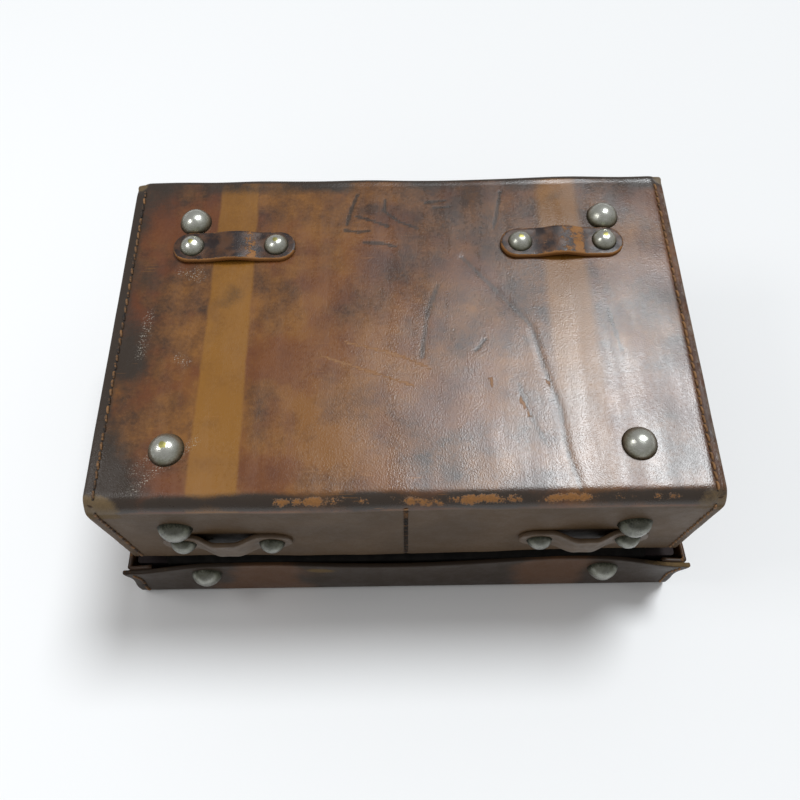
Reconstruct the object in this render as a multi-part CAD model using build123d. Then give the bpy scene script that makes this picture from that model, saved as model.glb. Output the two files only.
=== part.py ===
from build123d import *

import os
from math import ceil

# Leather instrument case, closed and lying upside down on its lid. Millimetres.
# The origin is the centre of the lid's outer face, which rests on the floor. +Z is up,
# X runs along the case, -Y is the hinged back, +Y is the front with its handle and lock.
# "Base" is the case's own bottom panel, which faces up as the case lies.

# Overall
CASE_LENGTH = 380.0
CASE_DEPTH = 249.0
CASE_HEIGHT = 169.0  # floor to the outer face of the base
BODY_EDGE_Z = 66.4  # cut edge of the body's walls
LID_EDGE_Z = 59.0  # cut edge of the lid's walls
LID_PROUD = 7.2  # how far the lid's walls stand outside the body's

# Materials
HIDE = 3.5  # outer leather
FOLD_RADIUS = 7.0  # outside radius of the folded long edges
FOLD_EASE = 1.0  # end panel's corner looser than the fold it sits in
BOARD_EASE = 1.0  # panel boards short of the walls
BOARD = 2.5  # millboard stiffener, and the hinge leather that takes its place at the back
WEB = 3.0  # end panel
END_INSET = 1.2  # end panel below the hide's cut edge
FLANGE_LENGTH = 16.8  # end panel's turned-in flange, with its web
LINER = 2.5  # cloth-covered board lining

# Lip and rebate
LIP_EDGE_Z = 46.0  # edge of the body's lining, which rests on the lid's rebate
REBATE_TOP_Z = 54.0
LIP_CLEARANCE = 1.2
LINER_CORNER = 2.0

# Hinge: one strip of leather, here a leaf in the lid and a leaf in the body
HINGE_LENGTH = 340.0
HINGE_LEAF_EDGE_Z = 58.5  # upper edge of the leaf in the lid

# Domed studs and rivets
STUD_RADIUS = 11.0
STUD_HEIGHT = 8.5
RIVET_RADIUS = 8.5
RIVET_HEIGHT = 6.2
SHANK_RADIUS = 2.0
SHANK_CLEARANCE = 0.1
BURR_RADIUS = 5.5
BURR_THICKNESS = 1.0
BASE_STUDS = ((-145.0, -86.5), (-145.0, 87.6), (142.5, -87.0), (142.5, 87.6))  # x, y
BACK_STUDS = ((-145.5, 130.5), (144.9, 128.6))  # x, z
LID_STUDS = ((-145.2, 42.0), (143.4, 42.0))  # x, z

# Strap keepers
KEEPER_LENGTH = 85.0
KEEPER_WIDTH = 23.6
KEEPER_GAP = 5.4  # room for the strap under the middle
KEEPER_FLAT = 13.0  # half length of the raised middle
KEEPER_FOOT = 18.5  # where the raised part comes down to the hide
KEEPER_BEND = 4.0
KEEPER_RIVET_SPACING = 58.0
BASE_KEEPERS = {"left": (-115.5, 64.6), "right": (111.3, 64.6)}  # x, y
BACK_KEEPERS = {"left": (-117.0, 106.0), "right": (116.8, 105.5)}  # x, z

# Stitching
STITCH_PITCH = 6.2
STITCH_LENGTH = 4.4
STITCH_WIDTH = 1.1
STITCH_HEIGHT = 0.6
STITCH_INSET = 5.2  # from the hide's cut end
STITCH_SLANT = 12.0
SEAM_STITCH_LENGTH = 4.0
ROW_END = 3.0  # a row stops this far from the walls' cut edge

# Lock and hasp
LOCK_WIDTH = 48.0
LOCK_LOW_Z = 68.0
LOCK_HIGH_Z = 88.0
LOCK_DEPTH = 7.0
LOCK_CORNER = 3.0
LOCK_BACK = 1.5  # plate left behind the slot
LOCK_SLOT_WIDTH = 7.2
LOCK_SLOT_HEIGHT = 8.0
STAPLE_Z = 76.0  # middle of the staple when it is home in the lock
BUTTON_X = 15.0
BUTTON_SIZE = 5.6
BUTTON_PROUD = 2.0
BUTTON_TRAVEL = 4.0
BUTTON_BACK = 2.0
BUTTON_CLEARANCE = 0.3
KEYHOLE_RADIUS = 1.8
KEYHOLE_WIDTH = 1.6
KEYHOLE_RISE = 1.2  # round part of the keyhole above the staple's middle
KEYHOLE_DROP = 4.0
LOCK_PIN_INSET = 3.2
LOCK_PIN_HEIGHT = 0.9
HASP_WIDTH = 20.0
HASP_SHEET = 1.5
HASP_CORNER = 5.0
HASP_AXIS_OUT = 2.5  # pin's axis outside the lid's wall
HASP_AXIS_Z = 58.0
HASP_PLATE_DROP = 20.0
HASP_PLATE_SIDE = 4.0  # plate wider than the hasp, on each side
PLATE_LEVEL = 3.0  # upper edge of the plate below the axis
HASP_OFFSET = 1.65  # middle of the hasp's sheet to its pin
HASP_REACH = 26.0
HASP_PIN_RADIUS = 1.0
HASP_PIN_CLEARANCE = 0.06
KNUCKLE_RADIUS = 2.2
KNUCKLE_INNER_X = 4.8
KNUCKLE_CLEARANCE = 0.3
LOCK_PIN_RADIUS = 1.6
STAPLE_WIDTH = 5.0
STAPLE_HEIGHT = 6.0
STAPLE_DEPTH = 2.8
STAPLE_HOLE_HEIGHT = 2.4
STAPLE_WALL = 0.8  # metal on each side of the staple's hole

# Handle
HANDLE_X = 58.0
HANDLE_AXIS_Y = 134.0
HANDLE_AXIS_Z = 138.0
BRACKET_WIDTH = 16.0
BRACKET_HEIGHT = 34.0
BRACKET_SHEET = 2.0
BRACKET_CORNER = 4.0
BRACKET_RIVET_RADIUS = 2.6
BRACKET_RIVET_HEIGHT = 1.6
BRACKET_RIVET_INSET = 5.0
LUG_WIDTH = 12.0
LUG_RADIUS = 4.2
WIRE_RADIUS = 2.0
WIRE_CLEARANCE = 0.08
LOOP_HALF_WIDTH = 9.0
LOOP_DROP = 18.0
GRIP_RADIUS = 8.0
GRIP_DROP = 38.0
GRIP_BEND = 13.0
EYE_RADIUS = 5.5
EYE_LENGTH = 11.0
EYE_NECK = 4.0
GRIP_SLOT_DROP = 3.0

# Cutting
OVER = 1.0  # how far a cutter runs past the face it cuts
NEAR = 0.01  # how close an edge lies to the plane it is picked by

# Worked out
HALF_LENGTH = CASE_LENGTH / 2
HALF_DEPTH = CASE_DEPTH / 2
LID_HALF_LENGTH = HALF_LENGTH + LID_PROUD
LID_HALF_DEPTH = HALF_DEPTH + LID_PROUD
BODY_WALL_Y = HALF_DEPTH - HIDE  # inner face of the body's hide
LID_WALL_Y = LID_HALF_DEPTH - HIDE
HASP_AXIS_Y = LID_HALF_DEPTH + HASP_AXIS_OUT
BODY_END_X = HALF_LENGTH - END_INSET
LID_END_X = LID_HALF_LENGTH - END_INSET
LIP_X = BODY_END_X - WEB  # outer faces of the body's lining
LIP_Y = BODY_WALL_Y - BOARD
WALL_STACK = HIDE + BOARD + LINER
LID_WALL_STACK = LID_HALF_DEPTH - LIP_Y + LINER
BOARD_LENGTH = 2 * (BODY_END_X - FLANGE_LENGTH)


def block(x, y, z):
    """A box from three (low, high) pairs."""
    size = [high - low for low, high in (x, y, z)]
    middle = [(high + low) / 2 for low, high in (x, y, z)]
    return Pos(*middle) * Box(*size)


def span(half):
    """The (low, high) pair centred on zero."""
    return (-half, half)


def rounded_tray(half_x, half_y, panel_z, edge_z, radius):
    """A block whose two edges along X at panel_z are rounded."""
    low, high = sorted((panel_z, edge_z))
    solid = block(span(half_x), span(half_y), (low, high))
    edges = solid.edges().filter_by(Axis.X)
    edges = edges.filter_by_position(Axis.Z, panel_z - NEAR, panel_z + NEAR)
    return fillet(edges, radius)


def folded_hide(half_x, half_y, panel_z, edge_z):
    """One hide folded over a panel and the two long walls."""
    inward = -1 if panel_z > edge_z else 1
    outer = rounded_tray(half_x, half_y, panel_z, edge_z, FOLD_RADIUS)
    hollow = rounded_tray(
        half_x + OVER, half_y - HIDE, panel_z + inward * HIDE, edge_z + inward * OVER, FOLD_RADIUS - HIDE
    )
    return outer - hollow


def end_panel(outer_x, half_y, panel_z, edge_z):
    """The right-hand end panel, with a flange turned in under the hide on three sides."""
    inward = -1 if panel_z > edge_z else 1
    pan = rounded_tray(outer_x, half_y, panel_z, edge_z, FOLD_RADIUS - HIDE + FOLD_EASE)
    inside = sorted((panel_z + inward * BOARD, edge_z + inward * OVER))
    hollow = block(span(outer_x - WEB), span(half_y - BOARD), inside)
    keep = block((outer_x - FLANGE_LENGTH, outer_x), span(half_y), (0, CASE_HEIGHT))
    return (pan - hollow) & keep


def lining_boards(half_x, half_y, panel_z, edge_z, wall_x, wall_y, panel):
    """A lining's boards: one panel and four walls that butt against it, open at edge_z."""
    inner_z = panel_z + (-panel if panel_z > edge_z else panel)
    outer = block(span(half_x), span(half_y), sorted((panel_z, edge_z)))
    outer = fillet(outer.edges().filter_by(Axis.Z), LINER_CORNER)
    walls_z = sorted((inner_z, edge_z))
    boards = [outer & block(span(half_x), span(half_y), sorted((panel_z, inner_z)))]
    for side in (-1, 1):
        x_wall = sorted((side * (half_x - wall_x), side * half_x))
        y_wall = sorted((side * (half_y - wall_y), side * half_y))
        boards.append(outer & block(span(half_x), y_wall, walls_z))
        boards.append(outer & block(x_wall, span(half_y - wall_y), walls_z))
    return boards


def domed_head(radius, height):
    """A spherical cap that stands on z = 0."""
    ball = (radius**2 + height**2) / (2 * height)
    cap = Pos(0, 0, height - ball) * Sphere(ball)
    return cap & block(span(radius + OVER), span(radius + OVER), (0, height))


def clinched(radius, height, depth):
    """A domed head and its shank, which ends flush with the burr behind depth of material."""
    length = depth + BURR_THICKNESS
    return domed_head(radius, height) + Pos(0, 0, -length / 2) * Cylinder(SHANK_RADIUS, length)


def burr(depth):
    """The washer that a shank is clinched over."""
    hole = Cylinder(SHANK_RADIUS + SHANK_CLEARANCE, BURR_THICKNESS + OVER)
    ring = Cylinder(BURR_RADIUS, BURR_THICKNESS) - hole
    return Pos(0, 0, -depth - BURR_THICKNESS / 2) * ring


def on_base(x, y):
    """A place on the base, with its local +Z pointing out of the case."""
    return Location((x, y, CASE_HEIGHT))


def on_back(x, z):
    return Location((x, -HALF_DEPTH, z), (90, 0, 0))


def on_lid_back(x, z):
    return Location((x, -LID_HALF_DEPTH, z), (90, 0, 0))


def drilled(solid, places, depth):
    """Clearance holes for the shanks at the given places."""
    drill = Cylinder(SHANK_RADIUS + SHANK_CLEARANCE, 2 * depth)
    for place in places:
        solid = solid - place * drill
    return solid


def keeper():
    """A strap keeper: a leather strip that bows up over the strap between its two rivets."""
    half = KEEPER_LENGTH / 2
    under = [
        (-half, 0),
        (-KEEPER_FOOT, 0),
        (-KEEPER_FLAT, KEEPER_GAP),
        (KEEPER_FLAT, KEEPER_GAP),
        (KEEPER_FOOT, 0),
        (half, 0),
    ]
    lower = FilletPolyline(*under, radius=KEEPER_BEND)
    upper = FilletPolyline(*[(x, y + HIDE) for x, y in under], radius=KEEPER_BEND)
    ends = [Line((x, 0), (x, HIDE)) for x in (-half, half)]
    side = make_face([*lower.edges(), *upper.edges(), *ends])
    strip = extrude(Plane.XZ * side, amount=KEEPER_WIDTH / 2, both=True)
    outline = extrude(SlotOverall(KEEPER_LENGTH, KEEPER_WIDTH), amount=KEEPER_GAP + HIDE + OVER)
    strip = strip & outline
    for x in span(KEEPER_RIVET_SPACING / 2):
        strip = strip - Pos(x, 0, 0) * Cylinder(SHANK_RADIUS + SHANK_CLEARANCE, 4 * HIDE)
    return strip


def stitch_row(length, start):
    """Middles of the stitches along a row, spread evenly at about the pitch."""
    count = ceil(length / STITCH_PITCH)
    return [start + (i + 0.5) * length / count for i in range(count)]


def stitch(length, angle):
    """One stitch lying on z = 0."""
    return Rot(0, 0, angle) * Pos(0, 0, STITCH_HEIGHT / 2) * Box(length, STITCH_WIDTH, STITCH_HEIGHT)


def mirrored(solid):
    """The left-hand copy of a right-hand piece."""
    return mirror(solid, about=Plane.YZ)


# Places of the studs and rivets
base_studs = [on_base(x, y) for x, y in BASE_STUDS]
back_studs = [on_back(x, z) for x, z in BACK_STUDS]
lid_studs = [on_lid_back(x, z) for x, z in LID_STUDS]
keepers = {f"keeper_base_{side}": on_base(x, y) for side, (x, y) in BASE_KEEPERS.items()}
keepers.update({f"keeper_back_{side}": on_back(x, z) for side, (x, z) in BACK_KEEPERS.items()})
rivets = [place * Pos(x, 0, 0) for place in keepers.values() for x in span(KEEPER_RIVET_SPACING / 2)]
body_holes = base_studs + back_studs + rivets
nodes = {}

# Body
body_hide = folded_hide(HALF_LENGTH, HALF_DEPTH, CASE_HEIGHT, BODY_EDGE_Z)
nodes["body_hide"] = drilled(body_hide, body_holes, HIDE + OVER)
body_end = end_panel(BODY_END_X, BODY_WALL_Y, CASE_HEIGHT - HIDE, BODY_EDGE_Z)
nodes["body_end_right"] = body_end
nodes["body_end_left"] = mirrored(body_end)
base_board = block(
    span(BOARD_LENGTH / 2),
    span(LIP_Y - BOARD_EASE),
    (CASE_HEIGHT - HIDE - BOARD, CASE_HEIGHT - HIDE),
)
nodes["base_board"] = drilled(base_board, base_studs + rivets[:4], WALL_STACK)
wall_board_z = (BODY_EDGE_Z, CASE_HEIGHT - 2 * HIDE)
nodes["front_board"] = block(span(BOARD_LENGTH / 2), (LIP_Y, BODY_WALL_Y), wall_board_z)
hinge_leaf = block(span(HINGE_LENGTH / 2), (-BODY_WALL_Y, -LIP_Y), wall_board_z)
nodes["hinge_leather_body"] = drilled(hinge_leaf, back_studs + rivets[4:], WALL_STACK)
body_lining = lining_boards(
    LIP_X, LIP_Y, CASE_HEIGHT - HIDE - BOARD, LIP_EDGE_Z, LINER, LINER, LINER
)
body_lining = [drilled(board, body_holes, WALL_STACK + OVER) for board in body_lining]
nodes["body_lining"] = Compound(children=body_lining)

# Keepers, rivets and studs
for name, place in keepers.items():
    nodes[name] = place * keeper()
riveted = Pos(0, 0, HIDE) * clinched(RIVET_RADIUS, RIVET_HEIGHT, HIDE + WALL_STACK)
body_stud = clinched(STUD_RADIUS, STUD_HEIGHT, WALL_STACK)
nodes["keeper_rivets_base"] = Compound(children=[place * riveted for place in rivets[:4]])
nodes["keeper_rivets_back"] = Compound(children=[place * riveted for place in rivets[4:]])
nodes["foot_studs_base"] = Compound(children=[place * body_stud for place in base_studs])
nodes["foot_studs_back"] = Compound(children=[place * body_stud for place in back_studs])
nodes["body_burrs"] = Compound(children=[place * burr(WALL_STACK) for place in body_holes])

# Body stitching: a row along each end of the base and down each corner of the walls
base_row = stitch_row(2 * (HALF_DEPTH - FOLD_RADIUS), FOLD_RADIUS - HALF_DEPTH)
wall_row_start = BODY_EDGE_Z + ROW_END
wall_row = stitch_row(CASE_HEIGHT - FOLD_RADIUS - wall_row_start, wall_row_start)
row_x = HALF_LENGTH - STITCH_INSET
right_rows = [on_base(row_x, y) * stitch(STITCH_LENGTH, 90 + STITCH_SLANT) for y in base_row]
for z in wall_row:
    right_rows.append(on_back(row_x, z) * stitch(STITCH_LENGTH, 90 + STITCH_SLANT))
    front = Location((row_x, HALF_DEPTH, z), (-90, 0, 0))
    right_rows.append(front * stitch(STITCH_LENGTH, 90 - STITCH_SLANT))
nodes["body_stitching_right"] = Compound(children=right_rows)
nodes["body_stitching_left"] = mirrored(nodes["body_stitching_right"])
seam = [on_back(0, z) * stitch(SEAM_STITCH_LENGTH, 0) for z in wall_row]
nodes["back_seam_stitching"] = Compound(children=seam)

# Lid
lid_hide = folded_hide(LID_HALF_LENGTH, LID_HALF_DEPTH, 0, LID_EDGE_Z)
nodes["lid_hide"] = drilled(lid_hide, lid_studs, HIDE + OVER)
lid_end = end_panel(LID_END_X, LID_WALL_Y, HIDE, LID_EDGE_Z)
nodes["lid_end_right"] = lid_end
nodes["lid_end_left"] = mirrored(lid_end)
lid_board_y = LID_WALL_Y - BOARD
lid_board_z = (HIDE, HIDE + BOARD)
nodes["lid_board"] = block(span(BOARD_LENGTH / 2), span(lid_board_y - BOARD_EASE), lid_board_z)
lid_wall_z = (2 * HIDE, REBATE_TOP_Z)
nodes["lid_front_board"] = block(span(BOARD_LENGTH / 2), (lid_board_y, LID_WALL_Y), lid_wall_z)
lid_leaf = block(
    span(HINGE_LENGTH / 2), (-LID_WALL_Y, -lid_board_y), (2 * HIDE, HINGE_LEAF_EDGE_Z)
)
nodes["hinge_leather_lid"] = drilled(lid_leaf, lid_studs, LID_WALL_STACK)
lid_lining_x = LID_END_X - WEB
lid_wall_x = lid_lining_x - LIP_X + LINER
lid_wall_y = lid_board_y - LIP_Y + LINER
lid_lining = lining_boards(
    lid_lining_x, lid_board_y, HIDE + BOARD, REBATE_TOP_Z, lid_wall_x, lid_wall_y, LINER
)
rebate = block(
    span(LIP_X + LIP_CLEARANCE), span(LIP_Y + LIP_CLEARANCE), (LIP_EDGE_Z, REBATE_TOP_Z + OVER)
)
lid_lining = [drilled(board - rebate, lid_studs, LID_WALL_STACK + OVER) for board in lid_lining]
nodes["lid_lining"] = Compound(children=lid_lining)
lid_stud = clinched(STUD_RADIUS, STUD_HEIGHT, LID_WALL_STACK)
nodes["lid_foot_studs"] = Compound(children=[place * lid_stud for place in lid_studs])
nodes["lid_burrs"] = Compound(children=[place * burr(LID_WALL_STACK) for place in lid_studs])
lid_row = stitch_row(LID_EDGE_Z - FOLD_RADIUS - ROW_END, FOLD_RADIUS)
lid_row_x = LID_HALF_LENGTH - STITCH_INSET
lid_rows = []
for z in lid_row:
    lid_rows.append(on_lid_back(lid_row_x, z) * stitch(STITCH_LENGTH, 90 + STITCH_SLANT))
    front = Location((lid_row_x, LID_HALF_DEPTH, z), (-90, 0, 0))
    lid_rows.append(front * stitch(STITCH_LENGTH, 90 - STITCH_SLANT))
nodes["lid_stitching_right"] = Compound(children=lid_rows)
nodes["lid_stitching_left"] = mirrored(nodes["lid_stitching_right"])

# Lock on the body's front
lock_face = HALF_DEPTH + LOCK_DEPTH
lock_case = block(span(LOCK_WIDTH / 2), (HALF_DEPTH, lock_face), (LOCK_LOW_Z, LOCK_HIGH_Z))
lock_case = fillet(lock_case.edges().filter_by(Axis.Y), LOCK_CORNER)
staple_slot = block(
    span(LOCK_SLOT_WIDTH / 2),
    (HALF_DEPTH + LOCK_BACK, lock_face + OVER),
    (STAPLE_Z - LOCK_SLOT_HEIGHT / 2, STAPLE_Z + LOCK_SLOT_HEIGHT / 2),
)
button_half = BUTTON_SIZE / 2
track_half = button_half + BUTTON_CLEARANCE
track = block(
    (BUTTON_X - track_half, BUTTON_X + track_half + BUTTON_TRAVEL),
    (HALF_DEPTH + BUTTON_BACK, lock_face + OVER),
    (STAPLE_Z - track_half, STAPLE_Z + track_half),
)
keyhole_top = STAPLE_Z + KEYHOLE_RISE
keyhole_round = Location((-BUTTON_X, lock_face, keyhole_top), (90, 0, 0))
keyhole = keyhole_round * Cylinder(KEYHOLE_RADIUS, 2 * (LOCK_DEPTH - BUTTON_BACK)) + block(
    (-BUTTON_X - KEYHOLE_WIDTH / 2, -BUTTON_X + KEYHOLE_WIDTH / 2),
    (HALF_DEPTH + BUTTON_BACK, lock_face + OVER),
    (STAPLE_Z - KEYHOLE_DROP, keyhole_top),
)
nodes["lock_case"] = lock_case - staple_slot - track - keyhole
nodes["lock_button"] = block(
    (BUTTON_X - button_half, BUTTON_X + button_half),
    (HALF_DEPTH + BUTTON_BACK + BUTTON_CLEARANCE, lock_face + BUTTON_PROUD),
    (STAPLE_Z - button_half, STAPLE_Z + button_half),
)
lock_pin = domed_head(LOCK_PIN_RADIUS, LOCK_PIN_HEIGHT)
lock_pin_places = [
    Location((x, lock_face, z), (-90, 0, 0))
    for x in span(LOCK_WIDTH / 2 - LOCK_PIN_INSET)
    for z in (LOCK_LOW_Z + LOCK_PIN_INSET, LOCK_HIGH_Z - LOCK_PIN_INSET)
]
nodes["lock_pins"] = Compound(children=[place * lock_pin for place in lock_pin_places])

# Hasp on the lid's front, hanging unlatched
hasp_axis = Location((0, HASP_AXIS_Y, HASP_AXIS_Z), (0, 90, 0))
hasp_half = HASP_WIDTH / 2
plate_outer_y = LID_HALF_DEPTH + HASP_SHEET
plate = block(
    span(hasp_half + HASP_PLATE_SIDE),
    (LID_HALF_DEPTH, plate_outer_y),
    (HASP_AXIS_Z - HASP_PLATE_DROP, HASP_AXIS_Z - PLATE_LEVEL),
)
plate = fillet(plate.edges().filter_by(Axis.Y), LOCK_CORNER)
for side in (-1, 1):
    ear_x = sorted((side * (KNUCKLE_INNER_X + KNUCKLE_CLEARANCE), side * hasp_half))
    ear_place = Pos(sum(ear_x) / 2, 0, 0) * hasp_axis
    plate = plate + ear_place * Cylinder(KNUCKLE_RADIUS, ear_x[1] - ear_x[0])
    ear_y = (plate_outer_y - HASP_SHEET + KNUCKLE_CLEARANCE, plate_outer_y)
    plate = plate + block(ear_x, ear_y, (HASP_AXIS_Z - PLATE_LEVEL - OVER, HASP_AXIS_Z))
nodes["hasp_plate"] = plate - hasp_axis * Cylinder(HASP_PIN_RADIUS, 2 * HASP_WIDTH)
nodes["hasp_pin"] = hasp_axis * Cylinder(HASP_PIN_RADIUS, HASP_WIDTH + 2 * KNUCKLE_CLEARANCE)
sheet_middle = HASP_AXIS_Y + HASP_OFFSET
sheet_y = (sheet_middle - HASP_SHEET / 2, sheet_middle + HASP_SHEET / 2)
flap_low = HASP_AXIS_Z - HASP_REACH
flap = block(span(hasp_half), sheet_y, (flap_low, HASP_AXIS_Z - PLATE_LEVEL))
low_edges = flap.edges().filter_by(Axis.Y).filter_by_position(Axis.Z, flap_low - NEAR, flap_low + NEAR)
flap = fillet(low_edges, HASP_CORNER)
flap = flap + block(span(KNUCKLE_INNER_X), sheet_y, (HASP_AXIS_Z - PLATE_LEVEL - OVER, HASP_AXIS_Z))
flap = flap + hasp_axis * Cylinder(KNUCKLE_RADIUS, 2 * KNUCKLE_INNER_X)
flap_bore = Cylinder(HASP_PIN_RADIUS + HASP_PIN_CLEARANCE, 2 * HASP_WIDTH)
nodes["hasp_flap"] = flap - hasp_axis * flap_bore
staple_z = 2 * HASP_AXIS_Z - STAPLE_Z
staple = block(
    span(STAPLE_WIDTH / 2),
    (sheet_y[1], sheet_y[1] + STAPLE_DEPTH),
    (staple_z - STAPLE_HEIGHT / 2, staple_z + STAPLE_HEIGHT / 2),
)
staple_hole = block(
    span(STAPLE_WIDTH),
    (sheet_y[1] + STAPLE_WALL, sheet_y[1] + STAPLE_DEPTH - STAPLE_WALL),
    (staple_z - STAPLE_HOLE_HEIGHT / 2, staple_z + STAPLE_HOLE_HEIGHT / 2),
)
nodes["hasp_staple"] = staple - staple_hole

# Handle on the body's front, hanging down
eye_z = HANDLE_AXIS_Z - LOOP_DROP
for name, x in (("left", -HANDLE_X), ("right", HANDLE_X)):
    sheet = block(
        (x - BRACKET_WIDTH / 2, x + BRACKET_WIDTH / 2),
        (HALF_DEPTH, HALF_DEPTH + BRACKET_SHEET),
        (HANDLE_AXIS_Z - BRACKET_HEIGHT / 2, HANDLE_AXIS_Z + BRACKET_HEIGHT / 2),
    )
    sheet = fillet(sheet.edges().filter_by(Axis.Y), BRACKET_CORNER)
    pivot = Location((x, HANDLE_AXIS_Y, HANDLE_AXIS_Z), (0, 90, 0))
    lug = pivot * Cylinder(LUG_RADIUS, LUG_WIDTH) + block(
        (x - LUG_WIDTH / 2, x + LUG_WIDTH / 2),
        (HALF_DEPTH + BRACKET_SHEET / 2, HANDLE_AXIS_Y),
        (HANDLE_AXIS_Z - LUG_RADIUS, HANDLE_AXIS_Z + LUG_RADIUS),
    )
    bore = Cylinder(WIRE_RADIUS + WIRE_CLEARANCE, 2 * LUG_WIDTH)
    nodes[f"handle_bracket_{name}"] = sheet + lug - pivot * bore
    loop = Part()
    for z in (HANDLE_AXIS_Z, eye_z):
        bar = Location((x, HANDLE_AXIS_Y, z), (0, 90, 0))
        loop = loop + bar * Cylinder(WIRE_RADIUS, 2 * LOOP_HALF_WIDTH)
    for side in span(LOOP_HALF_WIDTH):
        middle = Pos(x + side, HANDLE_AXIS_Y, (HANDLE_AXIS_Z + eye_z) / 2)
        loop = loop + middle * Cylinder(WIRE_RADIUS, LOOP_DROP)
        for z in (HANDLE_AXIS_Z, eye_z):
            loop = loop + Pos(x + side, HANDLE_AXIS_Y, z) * Sphere(WIRE_RADIUS)
    nodes[f"handle_loop_{name}"] = loop

grip_z = HANDLE_AXIS_Z - GRIP_DROP
corners = [(-HANDLE_X, eye_z), (-HANDLE_X, grip_z), (HANDLE_X, grip_z), (HANDLE_X, eye_z)]
grip_plane = Plane((0, HANDLE_AXIS_Y, 0), x_dir=(1, 0, 0), z_dir=(0, -1, 0))
grip_path = grip_plane * FilletPolyline(*corners, radius=GRIP_BEND)
grip = sweep(Plane((-HANDLE_X, HANDLE_AXIS_Y, eye_z)) * Circle(GRIP_RADIUS), path=grip_path)
for x in span(HANDLE_X):
    grip = grip - block(
        (x - LOOP_HALF_WIDTH, x + LOOP_HALF_WIDTH),
        (0, CASE_DEPTH),
        (eye_z - GRIP_SLOT_DROP, eye_z + GRIP_RADIUS),
    )
    neck = block(
        (x - EYE_LENGTH / 2, x + EYE_LENGTH / 2),
        (HANDLE_AXIS_Y - EYE_RADIUS, HANDLE_AXIS_Y + EYE_RADIUS),
        (eye_z - EYE_NECK, eye_z),
    )
    eye = Location((x, HANDLE_AXIS_Y, eye_z), (0, 90, 0))
    grip = grip + neck + eye * Cylinder(EYE_RADIUS, EYE_LENGTH)
    grip = grip - eye * Cylinder(WIRE_RADIUS + WIRE_CLEARANCE, 2 * EYE_LENGTH)
nodes["handle_grip"] = grip
bracket_rivet = domed_head(BRACKET_RIVET_RADIUS, BRACKET_RIVET_HEIGHT)
bracket_rivets = [
    Location((x, HALF_DEPTH + BRACKET_SHEET, HANDLE_AXIS_Z + z), (-90, 0, 0)) * bracket_rivet
    for x in span(HANDLE_X)
    for z in span(BRACKET_HEIGHT / 2 - BRACKET_RIVET_INSET)
]
nodes["handle_bracket_rivets"] = Compound(children=bracket_rivets)

os.makedirs("parts", exist_ok=True)
for name, solid in nodes.items():
    export_step(solid, f"parts/{name}.step")
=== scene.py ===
"""An old leather instrument case, closed and lying upside down on its lid."""

import math

import bmesh
import bpy
import numpy as np
from bpy.props import FloatProperty, FloatVectorProperty, PointerProperty
from bpy.types import Operator, Panel, PropertyGroup
from mathutils import Matrix, Vector
from mathutils.bvhtree import BVHTree


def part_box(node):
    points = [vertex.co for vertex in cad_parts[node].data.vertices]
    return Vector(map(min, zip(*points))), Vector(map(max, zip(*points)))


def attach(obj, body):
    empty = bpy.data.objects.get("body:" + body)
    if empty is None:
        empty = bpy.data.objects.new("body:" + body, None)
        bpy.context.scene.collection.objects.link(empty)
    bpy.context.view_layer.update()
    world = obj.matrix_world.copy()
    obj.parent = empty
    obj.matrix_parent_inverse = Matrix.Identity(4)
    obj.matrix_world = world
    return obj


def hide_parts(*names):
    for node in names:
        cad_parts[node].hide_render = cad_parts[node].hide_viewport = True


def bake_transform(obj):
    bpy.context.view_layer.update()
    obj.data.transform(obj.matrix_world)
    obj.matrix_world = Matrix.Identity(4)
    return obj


bl_info = {
    "name": "Leather Instrument Case",
    "version": (1, 0, 0),
    "blender": (4, 5, 0),
    "location": "View3D > Sidebar > Leather Case",
    "description": "Leather, metal and thread for an old instrument case around its CAD frame",
    "category": "Object",
}

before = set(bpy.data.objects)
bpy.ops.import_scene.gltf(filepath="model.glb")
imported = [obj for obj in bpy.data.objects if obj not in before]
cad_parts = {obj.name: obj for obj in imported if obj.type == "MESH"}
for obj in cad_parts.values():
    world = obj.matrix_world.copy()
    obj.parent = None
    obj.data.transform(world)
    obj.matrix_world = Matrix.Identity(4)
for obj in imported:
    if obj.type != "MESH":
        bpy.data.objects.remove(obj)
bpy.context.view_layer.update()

MM = 0.001
BODY_LOW, BODY_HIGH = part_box("body_hide")
LID_LOW, LID_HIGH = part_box("lid_hide")
HIDE = 3.5 * MM


# ---------------- properties


def colour(name, description, default):
    return FloatVectorProperty(
        name=name, description=description, default=default, subtype="COLOR", size=3, min=0, max=1
    )


def length(name, description, default):
    return FloatProperty(name=name, description=description, default=default, unit="LENGTH", min=0)


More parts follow.
